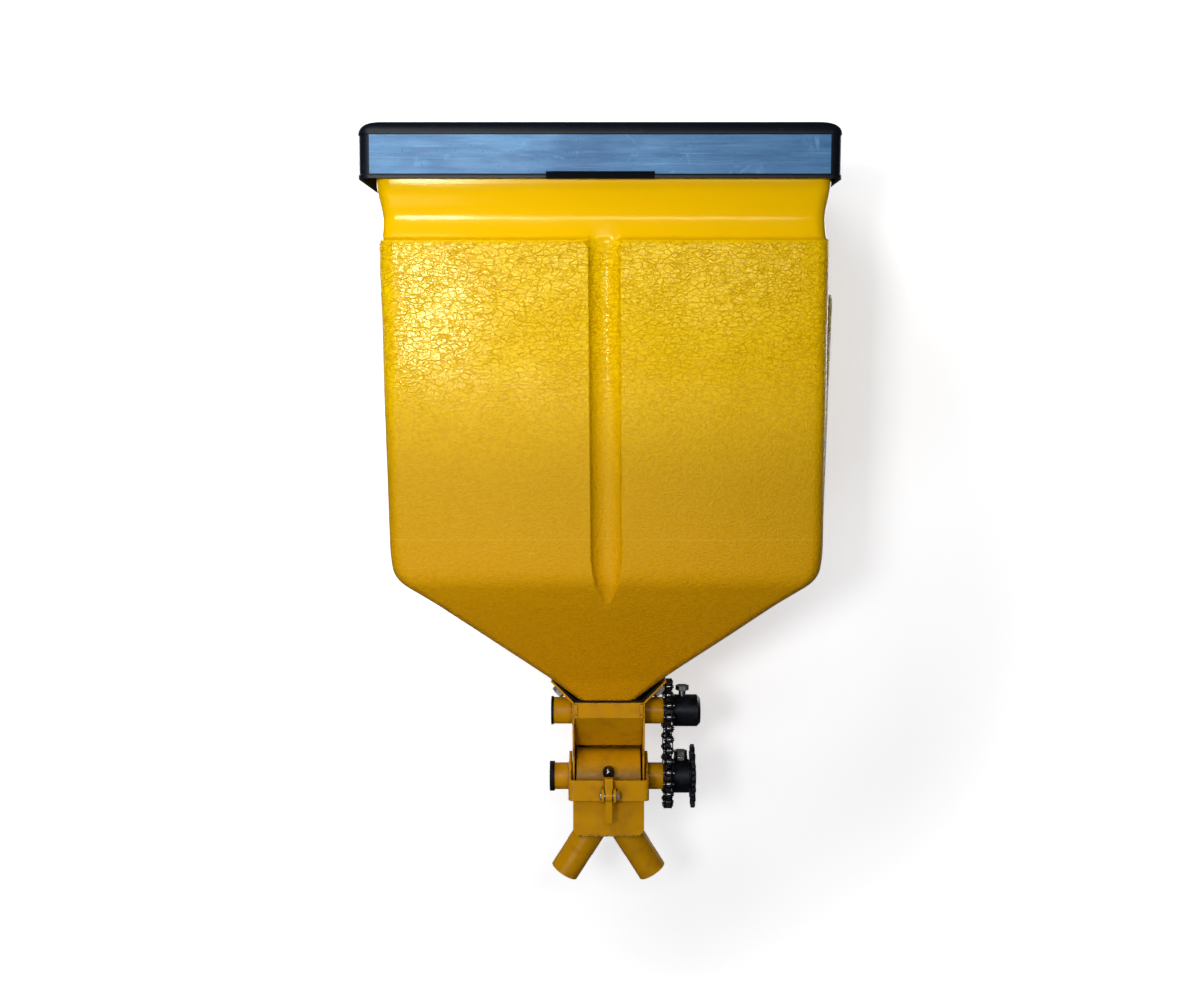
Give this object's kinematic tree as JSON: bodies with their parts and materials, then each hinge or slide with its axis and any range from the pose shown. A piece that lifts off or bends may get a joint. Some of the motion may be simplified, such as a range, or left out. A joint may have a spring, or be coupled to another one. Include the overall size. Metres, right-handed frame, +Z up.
{
  "type": "granule hopper with metering unit",
  "caption": "Moulded hopper with a lift-off lid on a chain-driven metering unit that feeds two angled outlet tubes below.",
  "frame": {"origin": "centre of the four mounting holes, on the back face of the rear bracket, level with the midpoint between the two shafts", "axes": "+X to the right seen from the front, along both shafts; +Y to the rear, out of the bracket's back face; +Z up, towards the lid"},
  "size_m": [0.4735, 0.356, 0.8233],
  "materials": {
    "hopper": "moulded yellow plastic with a glossy leather grain",
    "lid": "scuffed black plastic",
    "paint": "yellow gloss paint over folded and welded sheet, chipped at the edges",
    "black_steel": "blackened steel",
    "chain_plate": "oiled dark steel",
    "chain_roller": "worn bright steel",
    "zinc": "bright zinc plate",
    "shaft_steel": "bright drawn steel",
    "bush": "dark bearing plastic",
    "rotor": "black moulded plastic",
    "rubber": "black rubber",
    "knob": "dark polished steel ball"
  },
  "bodies": {
    "frame": {"hopper": "hopper", "hopper_rib": "hopper", "hopper_gasket": "rubber", "left_side_plate": "paint", "right_side_plate": "paint", "front_plate": "paint", "rear_plate": "paint", "rear_guide": "paint", "rear_trough": "paint", "rear_bracket": "paint", "outlet_box": "paint", "flow_divider": "paint", "left_outlet": "paint", "right_outlet": "paint", "bearing_tubes": "paint", "bearing_bushes": "bush", "upper_left_cap": "rubber", "lower_left_cap": "rubber", "clamp_strap": "paint", "lever_ears": "paint", "lever_pivot": "zinc", "hopper_bolts": "zinc", "corner_tabs": "paint", "chain_inner_plates": "chain_plate", "chain_outer_plates": "chain_plate", "chain_rollers": "chain_roller", "chain_pins": "chain_roller"},
    "metering": {"metering_shaft": "shaft_steel", "metering_rotor": "rotor", "metering_sprocket": "black_steel", "metering_hub": "black_steel", "metering_set_bolt": "zinc", "metering_lock_nut": "zinc", "metering_collar": "shaft_steel", "input_sprocket": "black_steel"},
    "agitator": {"agitator_shaft": "shaft_steel", "agitator_fingers": "shaft_steel", "agitator_sprocket": "black_steel", "agitator_hub": "black_steel", "agitator_set_bolt": "zinc", "agitator_collar": "shaft_steel"},
    "shutter_body": {"shutter": "paint", "shutter_stud": "zinc", "shutter_knob": "knob"},
    "lever": {"clamp_lever": "paint"},
    "lid_body": {"lid": "lid"}
  },
  "joints": [
    {"name": "metering_turn", "type": "hinge", "parent": "frame", "child": "metering", "pos_m": [0, -0.076, -0.0381], "axis": [1, 0, 0], "continuous": true, "deforming": ["chain_inner_plates", "chain_outer_plates", "chain_rollers", "chain_pins"]},
    {"name": "agitator_turn", "type": "hinge", "parent": "frame", "child": "agitator", "pos_m": [0, -0.076, 0.0381], "axis": [1, 0, 0], "continuous": true},
    {"name": "shutter_turn", "type": "hinge", "parent": "frame", "child": "shutter_body", "pos_m": [0, -0.076, -0.0381], "axis": [-1, 0, 0], "range_deg": [0, 30]},
    {"name": "lever_turn", "type": "hinge", "parent": "frame", "child": "lever", "pos_m": [0, -0.146, -0.04], "axis": [-1, 0, 0], "range_deg": [0, 90]},
    {"name": "lid_lift", "type": "slide", "parent": "frame", "child": "lid_body", "axis": [0, 0, 1], "range_m": [0, 0.15]}
  ],
  "couplings": [
    {"joint": "agitator_turn", "follows": "metering_turn", "ratio": 1}
  ]
}
